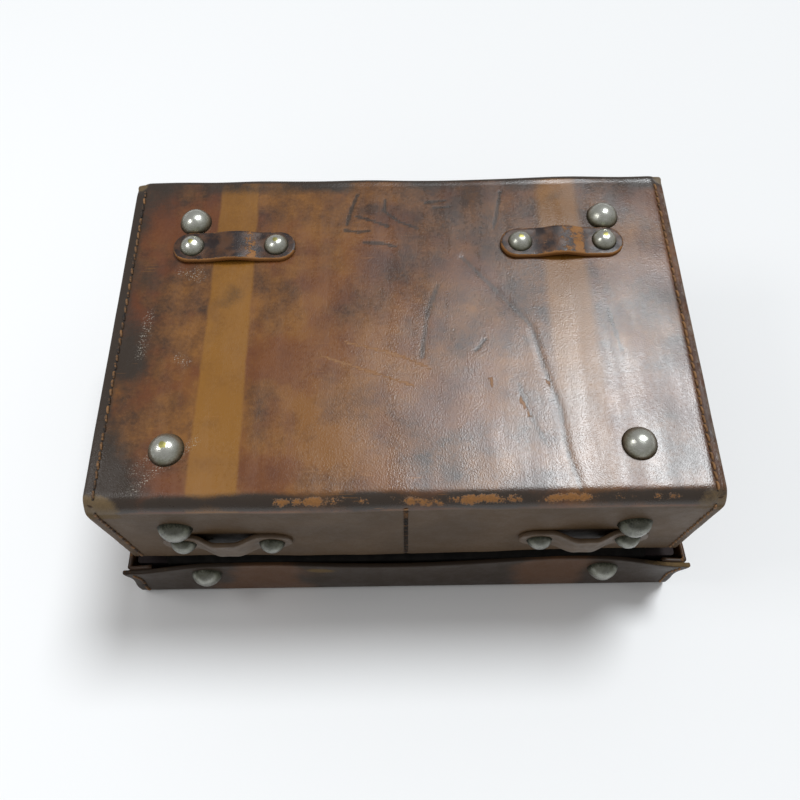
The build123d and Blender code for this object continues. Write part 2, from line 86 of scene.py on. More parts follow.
class LeatherSettings(PropertyGroup):
    """Colours and grain of the leather"""

    deep: colour("Deep brown", "Darkest mottling of the hide", (0.042, 0.019, 0.009))
    chestnut: colour("Chestnut", "Middle colour of the hide", (0.122, 0.048, 0.012))
    warm: colour("Warm brown", "Lightest mottling of the hide", (0.215, 0.086, 0.015))
    russet: colour("Russet", "Reddish mottling of the hide", (0.130, 0.034, 0.008))
    # Slate also paints the shadow behind the back keepers and, dimmed, the shade along the creases.
    slate: colour("Slate", "Dark grey of the handled edges", (0.030, 0.019, 0.012))
    strap_mark: colour("Strap mark", "Hide that the straps kept from the light", (0.250, 0.106, 0.012))
    bare: colour("Bare fibre", "Leather worn through to its fibre", (0.30, 0.125, 0.026))
    fray: colour("Frayed edge", "Fibre of the worn corners", (0.105, 0.066, 0.026))
    scuff: colour("Scuff", "Dry white scratches", (0.42, 0.38, 0.32))
    wall: colour("Wall brown", "Duller brown of the back wall", (0.096, 0.056, 0.026))
    lid: colour("Lid brown", "Dark brown of the lid's walls", (0.026, 0.017, 0.010))
    lid_red: colour("Lid russet", "Redder brown of the lid's walls", (0.098, 0.043, 0.017))
    keeper: colour("Keeper", "Leather of the strap keepers", (0.078, 0.032, 0.013))
    keeper_dark: colour("Keeper dark", "Polished patches of the keepers", (0.016, 0.007, 0.006))
    hinge: colour("Hinge", "Black leather of the hinge", (0.006, 0.005, 0.004))
    grain: length("Grain", "Size of one pebble of the grain", 1.0 * MM)


class FittingSettings(PropertyGroup):
    """Colours of the metal, thread and cloth"""

    nickel: colour("Nickel", "Plate of the studs and rivets", (0.66, 0.66, 0.60))
    tarnish: colour("Tarnish", "Dull film on the nickel", (0.26, 0.265, 0.19))
    worn: colour("Worn plate", "Brass where the nickel is worn off", (0.34, 0.31, 0.11))
    brass: colour("Brass", "Lock, hasp and handle fittings", (0.42, 0.30, 0.12))
    patina: colour("Patina", "Dark film on the brass", (0.17, 0.125, 0.06))
    thread: colour("Thread", "Waxed linen thread", (0.26, 0.125, 0.042))
    # This colour also paints the stitch holes, as painted shade inside them.
    dirt_and_hole_shade: colour("Dirt", "Stitch holes and dirty thread", (0.012, 0.008, 0.006))
    cloth: colour("Cloth", "Cloth of the linings", (0.011, 0.007, 0.007))
    board: colour("Board", "Millboard stiffeners", (0.28, 0.21, 0.13))


class StageSettings(PropertyGroup):
    """Floor, lamps and camera"""

    floor: colour("Floor", "Pale floor", (0.92, 0.92, 0.92))
    sky: FloatProperty(name="Sky", description="Brightness of the white room", default=0.36, min=0)
    key: FloatProperty(name="Key", description="Strength of the high window light", default=2.2, min=0)
    fill: FloatProperty(name="Fill", description="Power of the soft lamp", default=2.0, unit="POWER")
    lens: FloatProperty(name="Lens", description="Focal length in millimetres", default=34.30)
    step: length("Mesh step", "Spacing of the leather meshes", 1.9 * MM)


# ---------------- mesh tools


def smooth(x, low, high):
    """0 below low, 1 above high and a soft step between."""
    t = np.clip((x - low) / (high - low), 0, 1)
    return t * t * (3 - 2 * t)


def fade(x, low, high):
    """1 below low and 0 above high."""
    return 1 - smooth(x, low, high)


def bell(x, centre, width):
    return np.exp(-(((x - centre) / width) ** 2))


def unit(vectors):
    return vectors / np.linalg.norm(vectors, axis=-1, keepdims=True)


def ripple(points, wave, seed, count=14):
    """Soft, seeded waves of about the given length over points, from about -1 to 1."""
    rng = np.random.default_rng(seed)
    directions = unit(rng.normal(size=(count, 3)))
    lengths = wave * rng.uniform(0.6, 1.6, count)
    phases = rng.uniform(0, 2 * math.pi, count)
    total = np.zeros(points.shape[:-1])
    for d, l, p in zip(directions, lengths, phases):
        total += np.sin(points @ (d * 2 * math.pi / l) + p)
    return total * math.sqrt(2 / count) / 1.6


def graded(low, high, step, rim):
    """Positions from low to high, closer together within the rounded rim at both ends."""
    near = np.array([0, 0.07, 0.25, 0.55]) * rim
    middle = np.linspace(low + rim, high - rim, max(2, int(round((high - low - 2 * rim) / step))))
    return np.concatenate([low + near, middle, high - near[::-1]])


def rim_sink(distance, rim):
    """How far the face lies below its own plane at a distance from a rounded edge."""
    inside = rim - np.clip(distance, 0, rim)
    return rim - np.sqrt(np.maximum(rim**2 - inside**2, 0))


def new_object(name, points, faces):
    """A closed, smooth-shaded mesh with its faces turned outwards."""
    mesh = bpy.data.meshes.new(name)
    mesh.from_pydata([tuple(p) for p in points], [], faces)
    shell = bmesh.new()
    shell.from_mesh(mesh)
    bmesh.ops.recalc_face_normals(shell, faces=shell.faces)
    shell.to_mesh(mesh)
    shell.free()
    mesh.shade_smooth()
    piece = bpy.data.objects.new(name, mesh)
    bpy.context.scene.collection.objects.link(piece)
    return piece


def grid_faces(rows, columns, start=0):
    i, j = np.meshgrid(np.arange(rows - 1), np.arange(columns - 1), indexing="ij")
    a = (start + i * columns + j).ravel()
    return np.stack([a, a + columns, a + columns + 1, a + 1], axis=1)


def skin(name, outer, inner):
    """A closed sheet between two grids of points of the same shape, joined round their rims."""
    rows, columns = outer.shape[:2]
    count = rows * columns
    index = np.arange(count).reshape(rows, columns)
    loop = np.concatenate([index[0, :-1], index[:-1, -1], index[-1, :0:-1], index[:0:-1, 0]])
    following = np.roll(loop, -1)
    rim = np.stack([loop, following, following + count, loop + count], axis=1)
    faces = np.concatenate([grid_faces(rows, columns), grid_faces(rows, columns, count)[:, ::-1], rim])
    points = np.concatenate([outer.reshape(-1, 3), inner.reshape(-1, 3)])
    return new_object(name, points, faces.tolist())


class Batch:
    """Gathers small closed shapes into one mesh, with numbers for the material to read."""

    def __init__(self):
        self.points, self.faces, self.values, self.count = [], [], {}, 0

    def add(self, points, faces, **values):
        self.faces.extend([k + self.count for k in face] for face in faces)
        self.points.append(points)
        self.count += len(points)
        for key, value in values.items():
            self.values.setdefault(key, []).append(np.broadcast_to(value, len(points)))

    def build(self, name):
        piece = new_object(name, np.concatenate(self.points), self.faces)
        for key, parts in self.values.items():
            attribute(piece, key, np.concatenate(parts))
        return piece


def wrapped_faces(rings, sides):
    """Faces between following rings of points."""
    a = np.arange((rings - 1) * sides)
    b = a - a % sides + (a + 1) % sides
    return np.stack([a, b, b + sides, a + sides], axis=1).tolist()


def tube(path, radii, up, sides=8):
    """Points and faces of a round bar along a path, closed at both ends."""
    along = unit(np.gradient(path, axis=0))
    side = unit(np.cross(along, up))
    over = np.cross(side, along)
    turn = np.linspace(0, 2 * math.pi, sides, endpoint=False)
    ring = np.cos(turn)[None, :, None] * side[:, None] + np.sin(turn)[None, :, None] * over[:, None]
    points = path[:, None] + np.broadcast_to(radii, len(path))[:, None, None] * ring
    count = len(path) * sides
    caps = [list(range(sides)), list(range(count - sides, count))]
    return points.reshape(-1, 3), wrapped_faces(len(path), sides) + caps


def lathe(profile, place, normal, sides=48):
    """Points and faces turned from (radius, height) pairs that end on the axis, round a normal."""
    first = unit(np.cross(normal, (0.36, 0.48, 0.8)))
    second = np.cross(normal, first)
    turn = np.linspace(0, 2 * math.pi, sides, endpoint=False)
    ring = np.cos(turn)[:, None] * first + np.sin(turn)[:, None] * second
    points = [place + radius * ring + height * normal for radius, height in profile[:-1]]
    points.append((place + profile[-1][1] * normal)[None])
    top = (len(profile) - 1) * sides
    last = top - sides
    crown = [[last + k, last + (k + 1) % sides, top] for k in range(sides)]
    faces = wrapped_faces(len(profile) - 1, sides) + crown + [list(range(sides))]
    return np.concatenate(points), faces


def surface(piece):
    """Looks up the nearest point and normal on a piece."""
    tree = BVHTree.FromObject(piece, bpy.context.evaluated_depsgraph_get())

    def find(point):
        place, normal, _, _ = tree.find_nearest(Vector(point))
        return np.array(place), np.array(normal)

    return find


def shells(node):
    """The lowest and highest corner of each separate solid in a CAD node."""
    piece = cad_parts[node]
    points = coordinates(piece)
    weld = np.unique(np.round(points, 6), axis=0, return_inverse=True)[1].ravel()
    ends = np.empty(2 * len(piece.data.edges), int)
    piece.data.edges.foreach_get("vertices", ends)
    a, b = weld[ends].reshape(-1, 2).T
    group = np.arange(weld.max() + 1)
    while True:
        before = group.copy()
        low = np.minimum(group[a], group[b])
        np.minimum.at(group, a, low)
        np.minimum.at(group, b, low)
        group = group[group]
        if (group == before).all():
            break
    own = group[weld]
    return [(points[own == g].min(0), points[own == g].max(0)) for g in np.unique(own)]


def near_path(x, y, path):
    """Distance from each (x, y) to a path of points."""
    nearest = np.full(x.shape, np.inf)
    for (ax, ay), (bx, by) in zip(path, path[1:]):
        dx, dy = bx - ax, by - ay
        t = np.clip(((x - ax) * dx + (y - ay) * dy) / (dx * dx + dy * dy), 0, 1)
        nearest = np.minimum(nearest, np.hypot(x - ax - t * dx, y - ay - t * dy))
    return nearest


def attribute(piece, name, values):
    """Stores one number for each point of the mesh, for the material to read."""
    data = piece.data.attributes.new(name, "FLOAT", "POINT").data
    data.foreach_set("value", np.asarray(values, np.float32).ravel())


def coordinates(piece):
    co = np.empty(len(piece.data.vertices) * 3)
    piece.data.vertices.foreach_get("co", co)
    return co.reshape(-1, 3)


# ---------------- materials


def dim(shade, factor):
    return tuple(factor * c for c in shade)


class Value:
    """What a node gives. Numbers can be added, subtracted and multiplied."""

    def __init__(self, nodes, socket):
        self.nodes, self.socket = nodes, socket

    def __add__(self, other):
        return self.nodes.math("ADD", self, other)

    def __sub__(self, other):
        return self.nodes.math("SUBTRACT", self, other)

    def __rsub__(self, other):
        return self.nodes.math("SUBTRACT", other, self)

    def __mul__(self, other):
        return self.nodes.math("MULTIPLY", self, other)

    def __abs__(self):
        return self.nodes.math("ABSOLUTE", self)

    __radd__, __rmul__ = __add__, __mul__


class Nodes:
    """A material's node tree, with short ways to add the nodes used here."""

    def __init__(self, name):
        self.material = bpy.data.materials.new(name)
        self.material.use_nodes = True
        self.tree = self.material.node_tree
        self.tree.nodes.clear()
        self.shader = self.tree.nodes.new("ShaderNodeBsdfPrincipled")
        out = self.tree.nodes.new("ShaderNodeOutputMaterial")
        self.tree.links.new(self.shader.outputs[0], out.inputs["Surface"])
        self.object = self.node("ShaderNodeTexCoord", {}, "Object")

    def node(self, kind, inputs, output=0, **values):
        """Adds a node, fills its inputs and gives one of its outputs."""
        node = self.tree.nodes.new(kind)
        for key, value in values.items():
            setattr(node, key, value)
        for key, value in inputs.items():
            self.put(node.inputs[key], value)
        return Value(self, node.outputs[output])

    def put(self, socket, value):
        if isinstance(value, Value):
            self.tree.links.new(value.socket, socket)
        elif socket.type == "RGBA":
            socket.default_value = (*value, 1)
        else:
            socket.default_value = value

    def math(self, operation, a, b=0.0):
        return self.node("ShaderNodeMath", {0: a, 1: b}, operation=operation)

    def step(self, value, low, high, to_low=0.0, to_high=1.0):
        """A soft step of value between low and high."""
        inputs = dict(enumerate((value, low, high, to_low, to_high)))
        return self.node("ShaderNodeMapRange", inputs, interpolation_type="SMOOTHSTEP")

    def mix(self, factor, a, b):
        return self.node("ShaderNodeMix", {0: factor, 6: a, 7: b}, 2, data_type="RGBA")

    def axis(self, name):
        return self.node("ShaderNodeSeparateXYZ", {0: self.object}, name)

    def turned(self, angle, scale):
        """The object's coordinates, turned about Z and scaled."""
        inputs = {"Vector": self.object, "Rotation": (0, 0, angle), "Scale": scale}
        return self.node("ShaderNodeMapping", inputs)

    def noise(self, scale, detail=4.0, rough=0.5, distortion=0.0, vector=None):
        inputs = {"Vector": vector or self.object, "Scale": scale, "Detail": detail}
        inputs |= {"Roughness": rough, "Distortion": distortion}
        return self.node("ShaderNodeTexNoise", inputs, "Fac")

    def waves(self, direction, scale):
        inputs = {"Vector": self.object, "Scale": scale}
        return self.node("ShaderNodeTexWave", inputs, "Fac", wave_type="BANDS", bands_direction=direction)

    def read(self, name):
        return self.node("ShaderNodeAttribute", {}, "Fac", attribute_name=name)

    def ramp(self, value, *stops):
        ramp = self.node("ShaderNodeValToRGB", {0: value})
        elements = ramp.socket.node.color_ramp.elements
        while len(elements) < len(stops):
            elements.new(0.5)
        for element, (position, shade) in zip(elements, stops):
            element.position = position
            element.color = (*shade, 1)
        return ramp

    def bump(self, height, distance, strength, **normal):
        inputs = {"Distance": distance, "Strength": strength, "Height": height, **normal}
        return self.node("ShaderNodeBump", inputs)

    def finish(self, color, roughness, **values):
        values = {"Base Color": color, "Roughness": roughness, **values}
        for key, value in values.items():
            self.put(self.shader.inputs[key.replace("_", " ")], value)
        return self.material


def grain_height(n, size):
    """Pebbled grain with finer pores in it."""
    inputs = {"Vector": n.object, "Scale": 1 / size, "Smoothness": 0.4}
    pebble = n.node("ShaderNodeTexVoronoi", inputs, "Distance", feature="SMOOTH_F1")
    return 0.6 * pebble + 0.7 * n.noise(1500, 2)


def streaks(n, angle, wave, low):
    """Fine scratches along one direction."""
    lines = n.step(n.noise(wave, 2, vector=n.turned(angle, (1, 26, 1))), low, low + 0.03)
    return lines * n.step(n.noise(24, 3), 0.52, 0.62)


def ragged(n):
    """Torn, fibrous noise centred on nought."""
    return 1.3 * (n.noise(120, 8, 0.68) - 0.5) + 0.7 * (n.noise(1100, 4, 0.7) - 0.5)


def hide_material(name, settings, bands, wall_colors):
    """Old waxed hide: mottled, marked by straps, rubbed at its folds and frayed at its corners."""
    n = Nodes(name)
    middle, fine, torn = n.noise(46, 7, 0.62), n.noise(420, 4, 0.6), ragged(n)
    wall = n.read("wall")
    mottle = 0.5 * n.noise(13, 5, 0.55, 0.5) + 0.5 * middle + 0.16 * (fine - 0.5) + n.read("light")
    color = n.ramp(mottle, (0.38, settings.deep), (0.48, settings.chestnut), (0.60, settings.warm))
    red = n.step(n.noise(19, 4, 0.6), 0.44, 0.62, 0.0, 0.75) * n.read("red")
    color = n.mix(red, color, settings.russet)
    for centre, width, taper, soft, strength in bands:
        off = abs(n.axis("X") - centre) + taper * n.axis("Y") + 0.004 * (middle - 0.5)
        band = n.step(off, width / 2 - soft, width / 2 + soft, strength, 0.0) * n.read("strap")
        tint = n.mix(n.step(mottle, 0.36, 0.60, 0.42, 0.0), settings.strap_mark, settings.chestnut)
        color = n.mix(band, color, tint)
    dull = n.mix(n.step(n.noise(26, 5) + 0.5 - n.read("red"), 0.38, 0.64), *wall_colors)
    dull = n.mix(0.35 * fine, dull, dim(wall_colors[0], 0.55))
    color = n.mix(n.step(wall, 0.25, 0.75), color, dull)
    # Mixes to slate where the hide is soiled, and as painted shadow behind the back keepers.
    color = n.mix(n.step(n.read("grime") + 0.45 * torn, 0.22, 0.85), color, settings.slate)
    # Dark scribbles, and painted shade along the creases, mixed towards a darker slate.
    ink = n.step(n.read("ink") + 0.5 * torn, 0.3, 0.9, 0, 0.8)
    color = n.mix(ink, color, dim(settings.slate, 0.7))
    worn = n.read("rub")
    rub = n.step(worn + torn, 0.62, 0.72) * n.step(worn, 0.1, 0.3)
    color = n.mix(rub, color, n.mix(n.noise(900, 5, 0.7), dim(settings.bare, 0.25), dim(settings.bare, 1.3)))
    fray = n.step(n.read("fray") + 0.8 * torn, 0.35, 0.8)
    color = n.mix(fray, color, n.mix(n.noise(1500, 4, 0.7), dim(settings.fray, 0.3), dim(settings.fray, 2)))
    scratches = n.math("MINIMUM", streaks(n, 0.55, 40, 0.70) + streaks(n, -0.28, 46, 0.715), 1.0)
    color = n.mix(scratches * n.step(wall, 0.2, 0.5, 0.5, 0.0), color, settings.bare)
    color = n.mix(n.read("scuff") * n.step(n.noise(900, 5, 0.75), 0.56, 0.62), color, settings.scuff)
    height = grain_height(n, settings.grain) - 0.6 * n.read("ink") + 2.5 * (rub + fray) * fine
    wiped = n.noise(70, 5, 0.6, vector=n.turned(0, (1, 0.16, 1)))
    waxed = n.step(0.9 * wiped + 0.4 * fine, 0.45, 0.85, 0.23, 0.35)
    roughness = n.math("MINIMUM", waxed + 0.22 * (rub + fray + wall), 1.0)
    shine = n.step(wall, 0, 1, 0.5, 0.16)
    normal = n.bump(height, 0.17 * MM, 0.5)
    return n.finish(color, roughness, Normal=normal, IOR=1.57, Specular_IOR_Level=shine)


def plain_leather(name, color, dark, bare, roughness, grain, gloss=0.5):
    """Smooth leather with dark patches, worn to its fibre where the attribute rub says so."""
    n = Nodes(name)
    torn, fine = ragged(n), n.noise(1300, 4, 0.7)
    shade = n.ramp(n.noise(110, 5, 0.6) + 0.12 * torn, (0.42, dark), (0.6, color))
    rub = n.step(n.read("rub") + torn, 0.48, 0.62)
    shade = n.mix(rub, shade, n.mix(fine, dim(bare, 0.35), dim(bare, 1.4)))
    rough = n.step(n.noise(150, 4), 0.3, 0.7, roughness - 0.06, roughness + 0.1) + 0.3 * rub
    normal = n.bump(grain_height(n, grain) + 2.0 * rub * fine, 0.18 * MM, 0.5)
    return n.finish(shade, rough, Normal=normal, Specular_IOR_Level=gloss)


def dome_material(name, settings):
    """Nickel plate, dull and green towards the rim of each dome and worn through at some tops; painted
    darker where the attribute dull is set, standing in for a dark reflection.
    """
    n = Nodes(name)
    apex, speckle = n.read("apex"), n.noise(900, 5, 0.7) - 0.5
    film = n.step(0.75 - apex + 0.9 * n.noise(170, 5, 0.6) + 0.8 * speckle, 0.55, 1.35)
    shade = n.mix(film, settings.nickel, settings.tarnish)
    rim = n.step(apex + 0.3 * speckle, 0.0, 0.12, 1.0, 0.0)
    shade = n.mix(rim, shade, dim(settings.tarnish, 0.35))
    # Painted reflection: where dull is set the plate is darkened nearly to black, standing in for the dark
    # surroundings that these studs mirror.
    dull = n.read("dull") * n.step(n.noise(150, 4) + speckle, 0.1, 0.7, 1.0, 0.72)
    shade = n.mix(dull, shade, dim(settings.tarnish, 0.07))
    spot = n.step(n.read("spot") + 0.35 * speckle, 0.76, 0.82)
    shade = n.mix(spot, shade, settings.worn)
    normal = n.bump(n.noise(420, 4, 0.6) + speckle, 0.2 * MM, 0.35)
    return n.finish(shade, 0.24 * film + 0.25 + 0.2 * spot, Normal=normal, Metallic=1.0)


def cast_material(name, color, film_color):
    """Old brass with softened edges and a dark film in patches."""
    n = Nodes(name)
    film = n.step(n.noise(190, 6, 0.65) + 0.2 * n.noise(1300, 3), 0.5, 0.75)
    edges = n.node("ShaderNodeBevel", {"Radius": 0.5 * MM})
    normal = n.bump(n.noise(700, 4, 0.6), 0.15 * MM, 0.3, Normal=edges)
    return n.finish(n.mix(film, color, film_color), 0.25 * film + 0.3, Normal=normal, Metallic=1.0)


def cloth_material(name, color):
    """Dark woven book cloth."""
    n = Nodes(name)
    weave = n.noise(1900, 2)
    for direction in ("X", "Y", "Z"):
        weave = weave + 0.5 * n.waves(direction, 420)
    return n.finish(n.mix(n.noise(45, 5), color, dim(color, 2.6)), 0.9, Normal=n.bump(weave, 0.15 * MM, 0.5))


def thread_material(name, color, dirt_and_hole_shade):
    """Waxed linen, twisted, darker where it is soiled; the stitch holes take the same dark colour as painted
    shade.
    """
    n = Nodes(name)
    clean = n.step(n.read("tone") + n.noise(600, 4), 0.65, 1.25)
    twist = n.bump(n.waves("DIAGONAL", 900), 0.2 * MM, 0.5)
    return n.finish(n.mix(clean, dirt_and_hole_shade, color), 0.7, Normal=twist)


def board_material(name, color):
    """Dull, fibrous millboard."""
    n = Nodes(name)
    fibre = n.noise(700, 5, 0.7)
    return n.finish(n.mix(fibre, dim(color, 0.6), color), 0.95, Normal=n.bump(fibre, 0.1 * MM, 0.3))


def material(name, make, *args):
    """The named look, made the first time it is asked for."""
    label = f"look_{name}"
    return bpy.data.materials.get(label) or make(label, *args)


def give(piece, finish):
    piece.data.materials.clear()
    piece.data.materials.append(finish)


def give_nodes(names, finish):
    """Puts a finish on CAD nodes that are shown as they are."""
    for name in names:
        give(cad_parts[name], finish)


def leather():
    return bpy.context.scene.case_leather


def fittings():
    return bpy.context.scene.case_fittings


def place_on(piece, body, slot, *nodes):
    """A finished piece rides on its body and takes the place of its CAD nodes."""
    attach(piece, body)
    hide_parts(*nodes)


# ---------------- hides

LEFT_OVERHANG, RIGHT_OVERHANG = 1.6 * MM, 0.7 * MM
BODY_FOLD, FRONT_FOLD, LID_FOLD = 11 * MM, 3.5 * MM, 6 * MM
RIM = 1.1 * MM
STITCH_INSET, GROOVE_WIDTH, GROOVE_DEPTH = 5.2 * MM, 1.4 * MM, 0.35 * MM
FRONT_SWELL = 2.2 * MM
CURL_LEFT, CURL_RIGHT = 2.9 * MM, 3.8 * MM
# How much the lid's walls bulge, as a part of their distance from the middle
BULGE_LEFT, BULGE_RIGHT, BULGE_BACK = 0.027, 0.014, 0.018


class Tray:
    """The outer face of a hide folded over a panel and two long walls."""

    def __init__(self, low, high, panel_up, back_fold, front_fold):
        self.left = low.x - LEFT_OVERHANG
        self.right = high.x + RIGHT_OVERHANG
        self.half_y = high.y
        self.folds = (back_fold, front_fold)
        self.sign = 1 if panel_up else -1
        self.edge_z = low.z if panel_up else high.z
        self.depth = high.z - low.z
        self.halves = [self.depth + self.half_y - (2 - math.pi / 2) * fold for fold in self.folds]
        self.span = sum(self.halves)

    def side(self, t, fold):
        """Distance out along y, z and the outward normal at a distance from one wall's edge."""
        wall = self.depth - fold
        turn = np.clip((t - wall) / fold, 0, math.pi / 2)
        past = np.maximum(t - wall - fold * math.pi / 2, 0)
        y = self.half_y - fold + fold * np.cos(turn) - past
        z = self.edge_z + self.sign * (np.minimum(t, wall) + fold * np.sin(turn))
        return y, z, np.cos(turn), self.sign * np.sin(turn)

    def point(self, s):
        """y, z and the outward normal at a distance along the section, from the back edge."""
        y, z, ny, nz = self.side(s, self.folds[0])
        back = (-y, z, -ny, nz)
        front = self.side(self.span - s, self.folds[1])
        return [np.where(s > self.halves[0], f, b) for f, b in zip(front, back)]


def hide_points(tray, step, shape):
    """The two faces of a hide, where shape says how far each point stands proud."""
    s = graded(0, tray.span, step, RIM)
    x = graded(tray.left, tray.right, step, RIM)
    s_grid, x_grid = np.meshgrid(s, x, indexing="ij")
    y, z, ny, nz = tray.point(s_grid)
    points = np.stack([x_grid, y, z], axis=-1)
    normals = np.stack([np.zeros_like(ny), ny, nz], axis=-1)
    to_edge = np.minimum(s_grid, tray.span - s_grid)
    to_end = np.minimum(x_grid - tray.left, tray.right - x_grid)
    sink = rim_sink(np.minimum(to_edge, to_end), RIM)
    proud = shape(points, normals, to_end)
    outer = points + normals * (proud - sink)[..., None]
    inner = points + normals * (proud - HIDE + sink)[..., None]
    return outer, inner


def body_shape(points, normals, to_end):
    """Waves, stitch grooves, crushed corners, the loose back wall, its seam and the long crease."""
    x, y, z = (points[..., k] for k in range(3))
    on_back = y < 0
    wave = 0.40 * MM * ripple(points, 0.15, 3) + 0.14 * MM * ripple(points, 0.045, 5)
    rounded = -1.3 * MM * fade(to_end, 0, 8 * MM) * np.abs(normals[..., 2])
    groove = -GROOVE_DEPTH * bell(to_end, STITCH_INSET, GROOVE_WIDTH)
    corner = np.hypot(to_end, np.minimum(y - BODY_LOW.y, BODY_HIGH.y - y))
    crushed = np.where(x < 0, -1.6, -0.7) * MM * fade(corner, 0, 10 * MM)
    crushed *= smooth(z, BODY_HIGH.z - 20 * MM, BODY_HIGH.z)
    loose = fade(z, 66 * MM, 120 * MM) * on_back
    sag = (1.0 * MM * bell(x, -0.03, 0.08) - 1.5 * MM * bell(x, 0.12, 0.05)) * loose
    seam = -0.5 * MM * bell(x, 0, 1.2 * MM) * on_back * fade(z, 0.15, 0.16)
    crease = -0.22 * MM * fade(near_path(x, y, DIAGONAL_CREASE), 0, 4 * MM) * (normals[..., 2] > 0.9)
    swell = (FRONT_SWELL + 0.7 * MM * ripple(points, 0.05, 9)) * np.maximum(normals[..., 1], 0)
    swell *= smooth(z, 158.5 * MM, 166.5 * MM)
    return wave + rounded + groove + crushed + sag + seam + crease + swell


def lid_shape(points, normals, to_end):
    """Waves and the stitch grooves, flat under the hasp."""
    rising = smooth(points[..., 2], 2 * MM, 20 * MM)
    groove = -GROOVE_DEPTH * bell(to_end, STITCH_INSET, GROOVE_WIDTH)
    by_hasp = bell(points[..., 0], 0, 0.04) * (points[..., 1] > 0)
    wave = 0.35 * MM * ripple(points, 0.12, 8) * (1 - by_hasp) - 0.3 * MM * by_hasp
    return (wave + groove) * rising


def still(points):
    return points


def lid_warp(points):
    """The lid's walls bulge near the floor, wave along the back rim and curl outwards at the corners."""
    x, y, z = (points[..., k] for k in range(3))
    height = smooth(z, 22 * MM, LID_HIGH.z)
    curl = np.where(x < 0, CURL_LEFT, CURL_RIGHT) * height
    bulge = fade(z, 12 * MM, 50 * MM)
    wave = 0.8 * bell(x, 0, 0.05) - 2.4 * bell(x, 0.112, 0.045) - 1.3 * bell(x, -0.10, 0.045)
    lift = 1.8 * bell(x, 0.112, 0.05) - 1.2 * bell(x, 0, 0.05)
    lift -= 1.5 * bell(x, 0.18, 0.02) + 2.6 * bell(x, -0.188, 0.022)
    ends = smooth(np.abs(y), 0.085, LID_HIGH.y) * smooth(np.abs(x), 0.1, 0.19)
    walls = smooth(np.abs(x), 0.140, LID_HIGH.x) * smooth(np.abs(y), 0.06, 0.12)
    back = MM * height * fade(y, -0.125, -0.110)
    moved = points.copy()
    moved[..., 0] += x * np.where(x < 0, BULGE_LEFT, BULGE_RIGHT) * bulge + np.sign(x) * curl * ends
    moved[..., 1] += y * BULGE_BACK * bulge * smooth(-y, 0, 0.05) + np.sign(y) * curl * walls
    moved[..., 1] -= wave * back
    moved[..., 2] += lift * back
    return moved


# Bands of paler leather along Y: middle, width, taper, softness, strength
BODY_BANDS = ((-0.1155, 0.0285, 0.009, 0.0012, 0.95), (0.1120, 0.0290, 0.006, 0.0035, 0.85))
# Creases, scribbles and scratches on the base, as paths of x and y
UPRIGHT_CREASE = ((0.024, 0.031), (0.017, 0.011), (0.014, -0.008), (0.012, -0.024))
DIAGONAL_CREASE = (
    (0.042, 0.054), (0.063, 0.027), (0.084, -0.001), (0.090, -0.035),
    (0.097, -0.064), (0.098, -0.090), (0.104, -0.116),
)
INNER_CREASE = ((0.073, -0.045), (0.078, -0.066), (0.086, -0.086))
SCRIBBLES = (
    ((0.018, 0.103), (0.032, 0.105)),
    ((0.023, 0.098), (0.035, 0.099)),
    ((-0.031, 0.091), (-0.020, 0.087), (-0.009, 0.082)),
    ((-0.031, 0.111), (-0.035, 0.098), (-0.038, 0.084)),
    ((-0.011, 0.106), (-0.012, 0.096), (-0.001, 0.086), (0.012, 0.080)),
    ((-0.040, 0.079), (-0.030, 0.077), (-0.022, 0.078)),
    ((-0.026, 0.068), (-0.012, 0.067), (-0.004, 0.064)),
    ((0.072, 0.112), (0.068, 0.091), (0.065, 0.079)),
    ((0.047, -0.020), (0.053, -0.012)),
    ((0.136, 0.010), (0.141, -0.022)),
)
SCUFFS = (
    ((-0.162, -0.112), (-0.152, -0.102), (-0.142, -0.094), (-0.128, -0.081)),
    ((-0.163, -0.100), (-0.150, -0.088)),
    ((-0.170, -0.020), (-0.168, 0.012)),
    ((-0.140, 0.047), (-0.136, 0.043)),
    ((-0.146, -0.022), (-0.140, -0.026)),
    ((-0.152, 0.046), (-0.138, 0.040)),
)
ORANGE_SCRATCHES = (
    ((-0.054, -0.022), (-0.025, -0.033), (0.007, -0.045)),
    ((-0.038, -0.012), (-0.002, -0.023), (0.018, -0.033)),
    ((0.055, -0.040), (0.056, -0.045)),
    ((0.091, -0.043), (0.092, -0.047)),
    ((0.073, -0.055), (0.078, -0.068)),
)
HIDE_MARKS = ("grime", "light", "red", "rub", "fray", "wall", "strap", "ink", "scuff")


def drawn(x, y, paths, width):
    """1 on any of the paths, fading to 0 at a width from them."""
    return np.max([fade(near_path(x, y, path), 0.25 * width, width) for path in paths], axis=0)


def mark(piece, **values):
    """Stores each number that the hide's material reads, 0 where none is given."""
    for name in HIDE_MARKS:
        attribute(piece, name, np.broadcast_to(values.get(name, 0.0), len(piece.data.vertices)))


